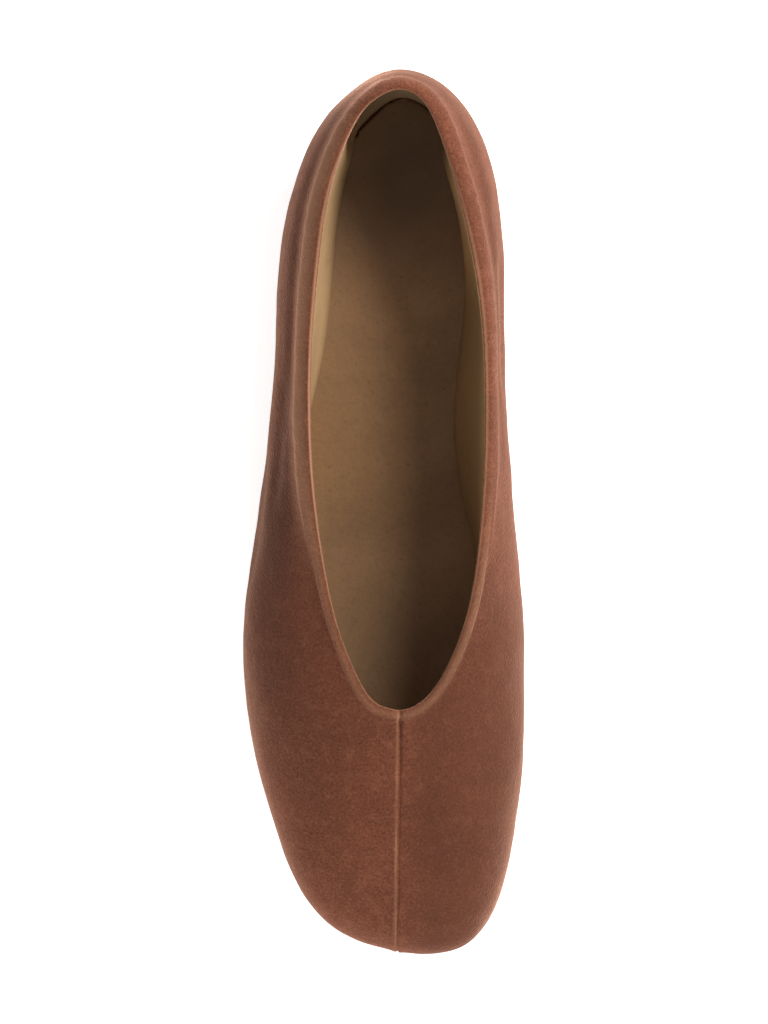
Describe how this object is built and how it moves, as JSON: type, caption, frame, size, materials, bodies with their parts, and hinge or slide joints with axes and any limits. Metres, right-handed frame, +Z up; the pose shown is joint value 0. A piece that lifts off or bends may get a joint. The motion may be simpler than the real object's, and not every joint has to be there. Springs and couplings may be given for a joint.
{
  "type": "flat shoe",
  "caption": "Women's flat slip-on shoe in brown suede, with a gathered collar band, a seam over the toe and a low heel.",
  "frame": {"origin": "on the floor, under the middle of the shoe's length and width", "axes": "+Y towards the toe, +Z up, +X towards the outer side of the foot"},
  "size_m": [0.0796, 0.25, 0.0583],
  "materials": {
    "suede": "brushed nap",
    "sock_leather": "smooth matt",
    "outsole_rubber": "matt",
    "heel_rubber": "matt"
  },
  "bodies": {
    "root": {"upper": "suede", "insole": "sock_leather", "outsole": "outsole_rubber", "heel": "heel_rubber"}
  },
  "joints": []
}
